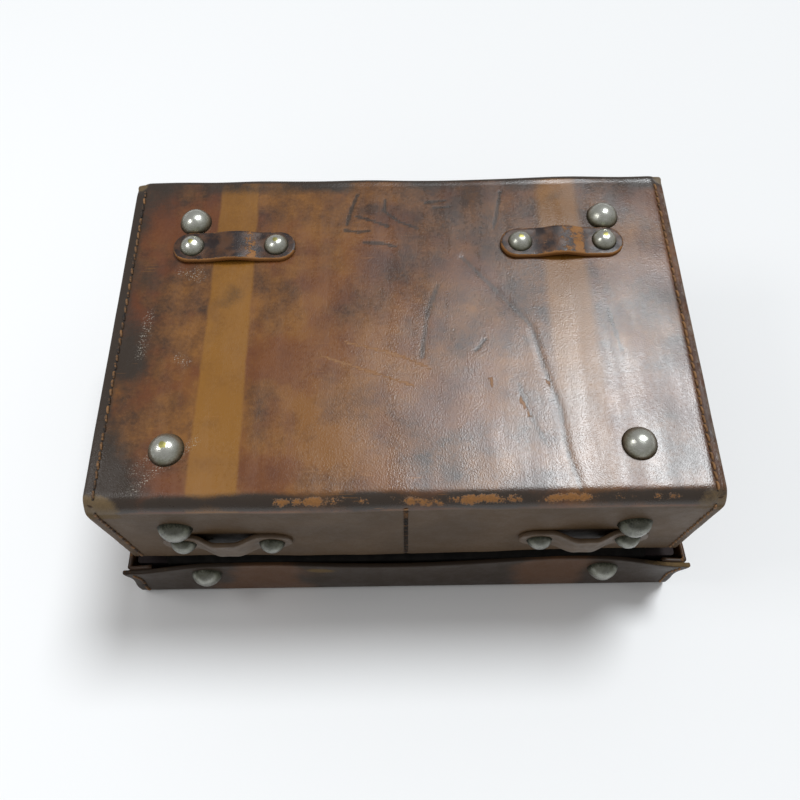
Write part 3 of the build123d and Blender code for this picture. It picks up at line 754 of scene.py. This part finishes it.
def body_marks(piece):
    co = coordinates(piece)
    x, y, z = co.T
    below = BODY_HIGH.z - z
    on_base = fade(below, 0.0065, 0.0105)
    top = fade(below, 0.001, 0.003)
    to_end = BODY_HIGH.x - np.abs(x)
    left, to_back, to_front = x - BODY_LOW.x, y - BODY_LOW.y, BODY_HIGH.y - y
    noise = ripple(co, 0.05, 11)
    handled = (
        0.85 * fade(left, 0.006, 0.034 + 0.012 * noise) * (0.65 + 0.4 * noise),
        0.9 * fade(left, 0.003, 0.013),
        0.45 * fade(to_end, 0.002, 0.012),
        0.85 * fade(to_front, 0.002, 0.022) * (0.75 + 0.4 * noise),
        fade(to_front, 0.0, 0.004),
        0.9 * fade(np.hypot(left, 0.8 * to_back), 0.02, 0.06),
        # A darker band along the rounded near fold.
        bell(to_back, 0.0045, 0.0055) * on_base * (1.0 + 0.25 * noise),
        0.22 * ripple(co, 0.028, 17) * top,
    )
    seam = 0.35 * bell(x, 0, 0.0016) * (y < 0) * (below > 0.004)
    # Darker along the body's open edge, next to the lid.
    edge = 0.5 * fade(z - BODY_LOW.z, 0, 0.003)
    # Painted shadow: around and behind the two back keepers the wall is darkened to slate, standing in for
    # the shade in the slot under each keeper.
    keepers = fade(np.abs(np.abs(x) - 0.117), 0.017, 0.023) * fade(np.abs(z - 0.106), 0.008, 0.014)
    grime = np.max([np.max(handled, axis=0) * on_base, seam, edge, 1.6 * keepers * (y < 0)], axis=0)
    light = 0.035 * bell(x, -0.02, 0.10) * bell(y, -0.06, 0.08) - 0.055 * smooth(x, -0.03, 0.03)
    light += 0.035 * bell(x, -0.075, 0.035) - 0.05 * fade(left, 0.02, 0.07)
    patches = smooth(ripple(co, 0.030, 21) + 0.4 * ripple(co, 0.012, 22), -0.5, 0.9)
    inside = smooth(x, -0.100, -0.065) * fade(x, 0.155, 0.175)
    rub = bell(to_back, 0.0045, 0.0045) * on_base * (0.56 + 0.28 * patches) * inside
    near_corner = np.where(x > 0, 0.62, 1) * fade(np.hypot(0.55 * to_end, to_back), 0.006, 0.016)
    far_corner = fade(np.hypot(to_end, np.minimum(to_back, to_front)), 0.003, 0.010)
    corners = np.maximum(near_corner, far_corner) * fade(below, 0.008, 0.026)
    # The creases are painted darker, as painted shade in their grooves; the scribbles are dark marks of
    # their own.
    creases = drawn(x, y, (UPRIGHT_CREASE, DIAGONAL_CREASE, INNER_CREASE), 0.0036)
    mark(
        piece,
        grime=grime,
        light=light,
        red=np.where(on_base > 0.5, 0.50 + 0.50 * fade(left, 0.05, 0.20), 0.5),
        rub=np.maximum(rub, 0.88 * drawn(x, y, ORANGE_SCRATCHES, 0.0024) * top),
        fray=np.maximum(corners, 0.5 * fade(to_end, 0.0, 0.005) * (x > 0) * on_base),
        wall=1 - on_base,
        strap=on_base * np.where(x < 0, 1, smooth(y, -0.10, 0.0) * 0.6 + 0.4),
        ink=np.maximum(drawn(x, y, SCRIBBLES, 0.0024), 0.75 * creases) * top,
        scuff=drawn(x, y, SCUFFS, 0.0045) * top,
    )


def lid_marks(piece):
    co = coordinates(piece)
    x, y, z = co.T
    corner = np.hypot(LID_HIGH.x - np.abs(x), LID_HIGH.z - z)
    edge = fade(LID_HIGH.z - z, 0.0005, 0.003)
    red = np.maximum(bell(x, -0.104, 0.030), bell(x, 0.108, 0.026))
    flake = bell(x, -0.062, 0.012) * bell(z, 0.048, 0.005) * (y < 0)
    mark(
        piece,
        grime=0.35 * edge + 0.15 * ripple(co, 0.06, 31) + 0.3 * (1 - red),
        rub=0.55 * fade(corner, 0.002, 0.018),
        fray=np.maximum(fade(corner, 0.006, 0.045) * edge, 1.2 * flake),
        wall=1,
        red=0.15 + 0.8 * red,
    )


def hide_look(group):
    """The body's chestnut hide or the lid's darker one."""
    s = leather()
    if group == "body":
        return material("chestnut_hide", hide_material, s, BODY_BANDS, (s.wall, dim(s.wall, 0.8)))
    return material("dark_lid_hide", hide_material, s, (), (s.lid_red, s.lid))


def add_hide(group, body, tray, shape, warp, marks):
    outer, inner = hide_points(tray, bpy.context.scene.case_stage.step, shape)
    piece = skin(f"{group}_hide_leather", warp(outer), warp(inner))
    marks(piece)
    give(piece, hide_look(group))
    place_on(piece, body, "hide", f"{group}_hide")


class CASE_OT_body_hide(Operator):
    """Build the body's hide, folded over the base and the long walls"""

    bl_idname = "case.body_hide"
    bl_label = "Body hide"

    def execute(self, context):
        tray = Tray(BODY_LOW, BODY_HIGH, True, BODY_FOLD, FRONT_FOLD)
        add_hide("body", "case_body", tray, body_shape, still, body_marks)
        return {"FINISHED"}


class CASE_OT_lid_hide(Operator):
    """Build the lid's hide, which curls outwards at its corners"""

    bl_idname = "case.lid_hide"
    bl_label = "Lid hide"

    def execute(self, context):
        tray = Tray(LID_LOW, LID_HIGH, False, LID_FOLD, LID_FOLD)
        add_hide("lid", "lid", tray, lid_shape, lid_warp, lid_marks)
        return {"FINISHED"}


# ---------------- end panels

FLANGE = 2.6 * MM
END_PILLOW = 0.9 * MM


def bent(corners, radius, step):
    """Points and left-hand normals along a path of straight runs with rounded corners."""
    corners = [np.array(c, float) for c in corners]
    points = [corners[0]]
    for before, here, after in zip(corners, corners[1:], corners[2:]):
        a, b = unit(before - here), unit(after - here)
        for t in np.linspace(0, 1, 7):
            points.append(here + radius * (a * (1 - t) ** 2 + b * t**2))
    points.append(corners[-1])
    dense = [points[0]]
    for a, b in zip(points, points[1:]):
        count = max(1, int(round(np.linalg.norm(b - a) / step)))
        dense += [a + (b - a) * k / count for k in range(1, count + 1)]
    dense = np.array(dense)
    along = unit(np.gradient(dense, axis=0))
    return dense, np.stack([-along[:, 1], along[:, 0]], axis=1)


def end_panel(side, low, high, edge_z, warp):
    """An end panel with its flanges turned in along the walls, as two faces of points."""
    corners = [(low.x, low.y), (high.x, low.y), (high.x, high.y), (low.x, high.y)]
    path, inward = bent(corners, 2.5 * MM, 3 * MM)
    heights = np.linspace(low.z, high.z, 28)
    x, z = np.meshgrid(path[:, 0], heights, indexing="ij")
    y, nx, ny = (np.repeat(column[:, None], len(heights), axis=1) for column in (path[:, 1], *inward.T))
    free = np.clip(np.abs(z - edge_z) / 0.02, 0, 1)
    pillow = END_PILLOW * np.cos(y / high.y * math.pi / 2) * (x > high.x - 1 * MM) * free
    outer = np.stack([side * (x + pillow), y, z], axis=-1)
    inner = np.stack([side * (x + pillow + nx * FLANGE), y + ny * FLANGE, z], axis=-1)
    return warp(outer), warp(inner)


def end_marks(piece, high, edge_z):
    co = coordinates(piece)
    x, y, z = co.T
    panel_z = high.z if abs(high.z - edge_z) > 1 * MM else 0.0
    rim = fade(np.abs(z - edge_z), 0.0, 0.005)
    corner = fade(np.hypot(np.abs(y) - high.y, z - panel_z), 0.004, 0.035)
    side = fade(high.y - np.abs(y), 0.002, 0.012)
    mark(
        piece,
        grime=np.maximum(0.6 * side, 0.35 + 0.35 * ripple(co, 0.05, 41)),
        rub=0.52 * np.maximum(rim, corner),
        fray=0.35 * rim,
        wall=0.6,
        red=0.6,
    )


class CASE_OT_ends(Operator):
    """Build the end panels of the body and the lid, with their flanges"""

    bl_idname = "case.ends"
    bl_label = "End panels"

    def execute(self, context):
        groups = (("case_body", "body", BODY_LOW.z, still), ("lid", "lid", LID_HIGH.z, lid_warp))
        for body, group, edge_z, warp in groups:
            low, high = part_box(f"{group}_end_right")
            for name, side in (("left", -1), ("right", 1)):
                node = f"{group}_end_{name}"
                piece = skin(f"{node}_leather", *end_panel(side, low, high, edge_z, warp))
                end_marks(piece, high, edge_z)
                give(piece, hide_look(group))
                place_on(piece, body, "end_hide", node)
        return {"FINISHED"}


# ---------------- keepers and studs

KEEPER_THICK, KEEPER_RIM = 3.3 * MM, 1.3 * MM
KEEPER_GAPS = {"base_left": 2.3 * MM, "base_right": 3.0 * MM, "back_left": 5.8 * MM, "back_right": 5.8 * MM}
KEEPER_GRAIN = 0.6 * MM
FOOT_HEIGHT, RIVET_HEIGHT, RIVET_LIFT = 8.5 * MM, 6.2 * MM, 3.1 * MM
# Axes of a keeper that lies on the base and of one on the back wall
ON_BASE = np.array([[1, 0, 0], [0, 1, 0], [0, 0, 1]])
ON_BACK = np.array([[1, 0, 0], [0, 0, 1], [0, -1, 0]])


def keeper_points(width, length, gap, flat, reach):
    """A bowed keeper's two faces, along X on z = 0, and each point's distance from its outline."""
    half, radius = length / 2, width / 2
    turn = np.linspace(0.10, math.pi / 2, 12)
    start = -half + radius * (1 - np.cos(turn))
    u = np.concatenate([start, np.linspace(start[-1], -start[-1], 44)[1:-1], -start[::-1]])
    rim_rows = np.array([0.90, 0.95, 0.985, 1])
    rows = np.concatenate([-rim_rows[::-1], np.linspace(-0.82, 0.82, 12), rim_rows])
    u, v = np.meshgrid(u, rows, indexing="ij")
    beyond = np.maximum(np.abs(u) - (half - radius), 0)
    y = v * np.sqrt(np.maximum(radius**2 - beyond**2, 1e-8))
    inset = np.maximum(radius - np.hypot(beyond, y), 0)
    sink = rim_sink(inset, KEEPER_RIM)
    bow = gap * fade(np.abs(u), flat, reach)
    pucker = 0.08 * MM * ripple(np.stack([u, y, bow], axis=-1), 0.012, 51)
    top = np.stack([u, y, bow + KEEPER_THICK - sink + pucker], axis=-1)
    under = np.stack([u, y, bow + 0.5 * sink], axis=-1)
    return top, under, inset


def keeper_wear(name, u, v, inset):
    """How far each point of a keeper is rubbed to its fibre."""
    edge = fade(inset, 0.0003, 0.0022)
    if name.startswith("back"):
        return 0.1 * edge
    shoulder = 0.26 * bell(np.abs(u), 0.013, 0.005)
    middle = 0.34 * bell(u, 0.002, 0.008) + 0.30 * bell(u, 0.012, 0.005) + shoulder
    more = 0.12 if name == "base_right" else 0.0
    return np.maximum(more + middle, (0.55 + 0.25 * smooth(-v, 0.0, 0.010)) * edge)


class CASE_OT_keepers(Operator):
    """Build the four strap keepers, bowed between their rivets"""

    bl_idname = "case.keepers"
    bl_label = "Strap keepers"

    def execute(self, context):
        s = leather()
        dark = material("keeper_leather", plain_leather, s.keeper, s.keeper_dark, s.bare, 0.36, KEEPER_GRAIN)
        dull = dim(s.wall, 0.8)
        grey = material("keeper_leather_dull", plain_leather, s.wall, dull, s.bare, 0.5, KEEPER_GRAIN)
        find = surface(bpy.data.objects["body_hide_leather"])
        for name, gap in KEEPER_GAPS.items():
            low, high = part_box(f"keeper_{name}")
            middle, size = (low + high) / 2, high - low
            if name.startswith("base"):
                width, flat, reach, axes, finish = size.y, 0, 21 * MM, ON_BASE, dark
                foot = (middle.x, middle.y, BODY_HIGH.z)
            else:
                width, flat, reach, axes, finish = size.z, 5 * MM, 22.5 * MM, ON_BACK, grey
                foot = (middle.x, BODY_LOW.y, middle.z)
            top, under, inset = keeper_points(width, size.x, gap, flat, reach)
            place, _ = find(foot)
            piece = skin(f"keeper_{name}_leather", top @ axes + place, under @ axes + place)
            worn = keeper_wear(name, top[..., 0], top[..., 1], inset)
            attribute(piece, "rub", np.tile(worn.ravel(), 2))
            give(piece, finish)
            place_on(piece, "case_body", "keeper_leather", f"keeper_{name}")
        return {"FINISHED"}


def dome_profile(radius, height):
    """A domed head with a thin rolled rim, as (radius, height) pairs from the rim to the top."""
    ball = (radius**2 + height**2) / (2 * height)
    r = radius * np.sin(np.linspace(math.pi / 2, 0, 22))
    cap = np.sqrt(ball**2 - r**2) - (ball - height)
    return [(radius * 0.985, -0.6 * MM), (radius, 0.15 * MM)] + list(zip(0.985 * r, cap + 0.35 * MM))


class CASE_OT_studs(Operator):
    """Build the domed feet and the keepers' rivets"""

    bl_idname = "case.studs"
    bl_label = "Studs and rivets"

    def execute(self, context):
        body = surface(bpy.data.objects["body_hide_leather"])
        lid = surface(bpy.data.objects["lid_hide_leather"])
        # Node, body, hide, height, lift, worn tops, dullness (painted darkening that stands in for a dark
        # reflection)
        groups = (
            ("foot_studs_base", "case_body", body, FOOT_HEIGHT, 0, 0, 0),
            ("foot_studs_back", "case_body", body, FOOT_HEIGHT, 0, 0, 0.9),
            ("lid_foot_studs", "lid", lid, FOOT_HEIGHT, 0, 0, 0.75),
            ("keeper_rivets_base", "case_body", body, RIVET_HEIGHT, RIVET_LIFT, 1, 0),
            ("keeper_rivets_back", "case_body", body, RIVET_HEIGHT, RIVET_LIFT, 0, 0.9),
        )
        for node, rides, find, height, lift, worn, dull in groups:
            batch = Batch()
            on_base = node.endswith("base")
            for k, (low, high) in enumerate(shells(node)):
                radius = (high[0] - low[0]) / 2
                place = (low + high) / 2
                if on_base:
                    place[2] = high[2] - height
                else:
                    place[1] = low[1] + height
                ground, normal = find(place)
                points, faces = lathe(dome_profile(radius, height), ground + normal * lift, normal)
                out = np.linalg.norm(np.cross(points - ground, normal), axis=1) / radius
                points = points + normal * (0.10 * MM * ripple(points, 0.008, 60 + k))[:, None]
                spot = worn or (place[0] < 0 and place[1] < 0 and on_base)
                batch.add(points, faces, apex=1 - out, spot=spot * (1 - out), dull=dull)
            piece = batch.build(f"{node}_domes")
            give(piece, material("tarnished_nickel", dome_material, fittings()))
            place_on(piece, rides, "nickel", node)
        return {"FINISHED"}


# ---------------- stitching

STITCH, THREAD_RADIUS, HOLE_REACH = 5.2 * MM, 0.80 * MM, 3.05 * MM
SEAM_STITCH, SEAM_THREAD_RADIUS, SEAM_HOLE_REACH = 3.0 * MM, 0.40 * MM, 1.5 * MM
SEAM_PITCH = 3.1 * MM
HOLE, SEAM_HOLE = 0.75 * MM, 0.5 * MM


def stitch_arch(middle, along, normal, length, radius):
    """One stitch that rises out of its hole and dips into the next."""
    t = np.linspace(-1, 1, 9)
    rise = 0.95 * MM * np.sqrt(1 - t**2) - 0.35 * MM
    path = middle + along * (t * length / 2)[:, None] + normal * rise[:, None]
    return tube(path, radius * (0.75 + 0.25 * np.sqrt(1 - 0.98 * t**2)), normal)


def add_holes(threads, find, place, run, reach, size):
    """The two small dark pits where a stitch goes through, painted dark as the shade inside them."""
    profile = [(size, -0.5 * MM), (size, 0.02 * MM), (0.7 * size, 0.06 * MM), (0, 0.07 * MM)]
    for end in (-1, 1):
        pit, facing = find(place + run * end * reach)
        threads.add(*lathe(profile, pit, facing, 12), tone=-1.0)


class CASE_OT_stitching(Operator):
    """Build the saddle stitching of the ends and the back seam"""

    bl_idname = "case.stitching"
    bl_label = "Stitching"

    def execute(self, context):
        rng = np.random.default_rng(7)
        finish = material("linen_thread", thread_material, fittings().thread, fittings().dirt_and_hole_shade)
        body = surface(bpy.data.objects["body_hide_leather"])
        lid = surface(bpy.data.objects["lid_hide_leather"])
        rows = (
            ("body_stitching_left", "case_body", body, still, 0.42),
            ("body_stitching_right", "case_body", body, still, 0.62),
            ("lid_stitching_left", "lid", lid, lid_warp, 0.42),
            ("lid_stitching_right", "lid", lid, lid_warp, 0.62),
        )
        for node, rides, find, warp, tone in rows:
            threads = Batch()
            for low, high in shells(node):
                size = high - low
                place, normal = find(warp((low + high) / 2))
                run = np.array([0, 1, 0] if size[2] < min(size[:2]) else [0, 0, 1], float)
                run = unit(run - normal * (run @ normal))
                slant = unit(run + np.cross(normal, run) * (0.16 + 0.05 * rng.normal()))
                arch = stitch_arch(place, slant, normal, STITCH, THREAD_RADIUS)
                threads.add(*arch, tone=tone + 0.12 * rng.normal())
                add_holes(threads, find, place, run, HOLE_REACH, HOLE)
            piece = threads.build(f"{node}_thread")
            give(piece, finish)
            place_on(piece, rides, "thread", node)
        seam = Batch()
        for low, high in shells("back_seam_stitching"):
            for up in (0, SEAM_PITCH):
                place, normal = body((low + high) / 2 + np.array([0, 0, up]))
                across = unit(np.array([1, 0, 0.16 * rng.normal() + 0.12]))
                tone = (0.6 if place[2] > 0.148 else 0.2) + 0.1 * rng.normal()
                seam.add(*stitch_arch(place, across, normal, SEAM_STITCH, SEAM_THREAD_RADIUS), tone=tone)
                add_holes(seam, body, place, across, SEAM_HOLE_REACH, SEAM_HOLE)
        piece = seam.build("back_seam_thread")
        give(piece, finish)
        place_on(piece, "case_body", "thread", "back_seam_stitching")
        return {"FINISHED"}


# ---------------- hinge, inside and metalwork

HINGE_THICK = 2.3 * MM
# Heights between which the hinge crosses from the lid's wall to the body's
HINGE_STEP = (60 * MM, 65.5 * MM)
HINGE_MIDDLE = 63 * MM
GRIP_GRAIN = 0.7 * MM


class CASE_OT_hinge(Operator):
    """Build the hinge: one strip of black leather from inside the lid's wall to inside the body's"""

    bl_idname = "case.hinge"
    bl_label = "Leather hinge"

    def execute(self, context):
        lid_low, lid_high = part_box("hinge_leather_lid")
        low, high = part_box("hinge_leather_body")
        lid_y, body_y = (lid_low.y + lid_high.y) / 2, (low.y + high.y) / 2
        corners = [(lid_y, lid_low.z), (lid_y, HINGE_STEP[0]), (body_y, HINGE_STEP[1]), (body_y, high.z)]
        path, inward = bent(corners, 3 * MM, 3 * MM)
        x = np.linspace(low.x, high.x, 150)
        y, x_grid = np.meshgrid(path[:, 0], x, indexing="ij")
        z, ny, nz = (np.repeat(column[:, None], len(x), axis=1) for column in (path[:, 1], *inward.T))
        middle = np.stack([x_grid, y, z], axis=-1)
        middle[..., 1] += 0.3 * MM * ripple(middle, 0.03, 71) * bell(z, HINGE_MIDDLE, 4 * MM)
        offset = np.stack([np.zeros_like(ny), ny, nz], axis=-1) * HINGE_THICK / 2
        piece = skin("hinge_strip", middle + offset, middle - offset)
        attribute(piece, "rub", np.zeros(len(piece.data.vertices)))
        dark = leather().hinge
        look = (dark, dim(dark, 0.5), dark, 0.8, GRIP_GRAIN, 0.1)
        give(piece, material("hinge_leather", plain_leather, *look))
        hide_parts("hinge_leather_lid", "hinge_leather_body")
        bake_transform(piece)
        return {"FINISHED"}


class CASE_OT_inside(Operator):
    """Finish the cloth linings and the millboards"""

    bl_idname = "case.inside"
    bl_label = "Linings and boards"

    def execute(self, context):
        give_nodes(("body_lining", "lid_lining"), material("book_cloth", cloth_material, fittings().cloth))
        boards = ("base_board", "front_board", "lid_board", "lid_front_board")
        give_nodes(boards, material("millboard", board_material, fittings().board))
        return {"FINISHED"}


class CASE_OT_metalwork(Operator):
    """Finish the lock, the hasp, the handle's brackets and loops and the burrs"""

    bl_idname = "case.metalwork"
    bl_label = "Lock, hasp and brackets"

    def execute(self, context):
        s = fittings()
        groups = {
            "lock": "case button pins",
            "hasp": "plate pin flap staple",
            "handle": "bracket_left bracket_right bracket_rivets loop_left loop_right",
            "body": "burrs",
            "lid": "burrs",
        }
        names = [f"{group}_{part}" for group, parts in groups.items() for part in parts.split()]
        give_nodes(names, material("aged_brass", cast_material, s.brass, s.patina))
        return {"FINISHED"}


class CASE_OT_handle(Operator):
    """Finish the leather grip of the handle"""

    bl_idname = "case.handle"
    bl_label = "Handle grip"

    def execute(self, context):
        s = leather()
        finish = material("grip_leather", plain_leather, s.keeper, s.keeper_dark, s.bare, 0.35, GRIP_GRAIN)
        give_nodes(("handle_grip",), finish)
        return {"FINISHED"}


# ---------------- stage

WINDOW_ANGLE = math.radians(19)
WINDOW_COLOR = (0.93, 0.97, 1.0)
WINDOW_DIRECTION = (0.285, 0.352, 0.892)
SOFT_SIZE = 0.35
SOFT_PLACE, SOFT_TARGET = (-0.75, -0.05, 1.0), (0, 0, 0.15)
CAMERA_PLACE = Vector((-2.52, -267.1, 596.2)) * MM
CAMERA_PITCH = math.radians(63.596)  # below the horizon
CAMERA_ROLL = math.radians(-0.860)


class CASE_OT_stage(Operator):
    """Set the pale floor, the soft lamps and the camera"""

    bl_idname = "case.stage"
    bl_label = "Stage"

    def execute(self, context):
        s = context.scene.case_stage
        bpy.ops.mesh.primitive_plane_add(size=40)
        floor = context.object
        floor.name = "floor"
        n = Nodes("pale_floor")
        give(floor, n.finish(s.floor, 0.9))
        world = bpy.data.worlds.new("studio")
        world.use_nodes = True
        background = world.node_tree.nodes["Background"]
        background.inputs["Color"].default_value = (1, 1, 1, 1)
        background.inputs["Strength"].default_value = s.sky
        context.scene.world = world
        window = bpy.data.lights.new("window", "SUN")
        window.energy = s.key
        window.angle = WINDOW_ANGLE
        window.color = WINDOW_COLOR
        add_lamp(window, WINDOW_DIRECTION, (0, 0, 0))
        soft = bpy.data.lights.new("soft", "AREA")
        soft.size = SOFT_SIZE
        soft.energy = s.fill
        add_lamp(soft, SOFT_PLACE, SOFT_TARGET)
        camera = bpy.data.cameras.new("camera")
        camera.lens = s.lens
        camera.sensor_width = 36
        camera.sensor_fit = "HORIZONTAL"
        view = bpy.data.objects.new("camera", camera)
        view.matrix_world = camera_matrix()
        context.scene.collection.objects.link(view)
        context.scene.camera = view
        context.scene.view_settings.view_transform = "Standard"
        return {"FINISHED"}


def add_lamp(lamp, place, target):
    holder = bpy.data.objects.new(lamp.name, lamp)
    holder.location = place
    holder.rotation_euler = (Vector(target) - Vector(place)).to_track_quat("-Z", "Y").to_euler()
    bpy.context.scene.collection.objects.link(holder)


def camera_matrix():
    turn = Matrix.Rotation(math.pi / 2 - CAMERA_PITCH, 4, "X")
    roll = Matrix.Rotation(CAMERA_ROLL, 4, "Z")
    return Matrix.Translation(CAMERA_PLACE) @ turn @ roll


class CASE_PT_panel(Panel):
    """Lists the case's pieces"""

    bl_idname = "CASE_PT_panel"
    bl_label = "Leather Case"
    bl_space_type = "VIEW_3D"
    bl_region_type = "UI"
    bl_category = "Leather Case"

    def draw(self, context):
        for settings in (context.scene.case_leather, context.scene.case_fittings, context.scene.case_stage):
            box = self.layout.box()
            for name in settings.__annotations__:
                box.prop(settings, name)
        for step in STEPS:
            self.layout.operator(step.bl_idname)


STEPS = (
    CASE_OT_body_hide,
    CASE_OT_lid_hide,
    CASE_OT_ends,
    CASE_OT_keepers,
    CASE_OT_studs,
    CASE_OT_stitching,
    CASE_OT_hinge,
    CASE_OT_inside,
    CASE_OT_metalwork,
    CASE_OT_handle,
    CASE_OT_stage,
)
CLASSES = (LeatherSettings, FittingSettings, StageSettings, *STEPS, CASE_PT_panel)


def register():
    for cls in CLASSES:
        bpy.utils.register_class(cls)
    bpy.types.Scene.case_leather = PointerProperty(type=LeatherSettings)
    bpy.types.Scene.case_fittings = PointerProperty(type=FittingSettings)
    bpy.types.Scene.case_stage = PointerProperty(type=StageSettings)


def unregister():
    del bpy.types.Scene.case_leather
    del bpy.types.Scene.case_fittings
    del bpy.types.Scene.case_stage
    for cls in reversed(CLASSES):
        bpy.utils.unregister_class(cls)


def main():
    register()
    for step in STEPS:
        group, name = step.bl_idname.split(".")
        getattr(getattr(bpy.ops, group), name)()


if __name__ == "__main__":
    main()
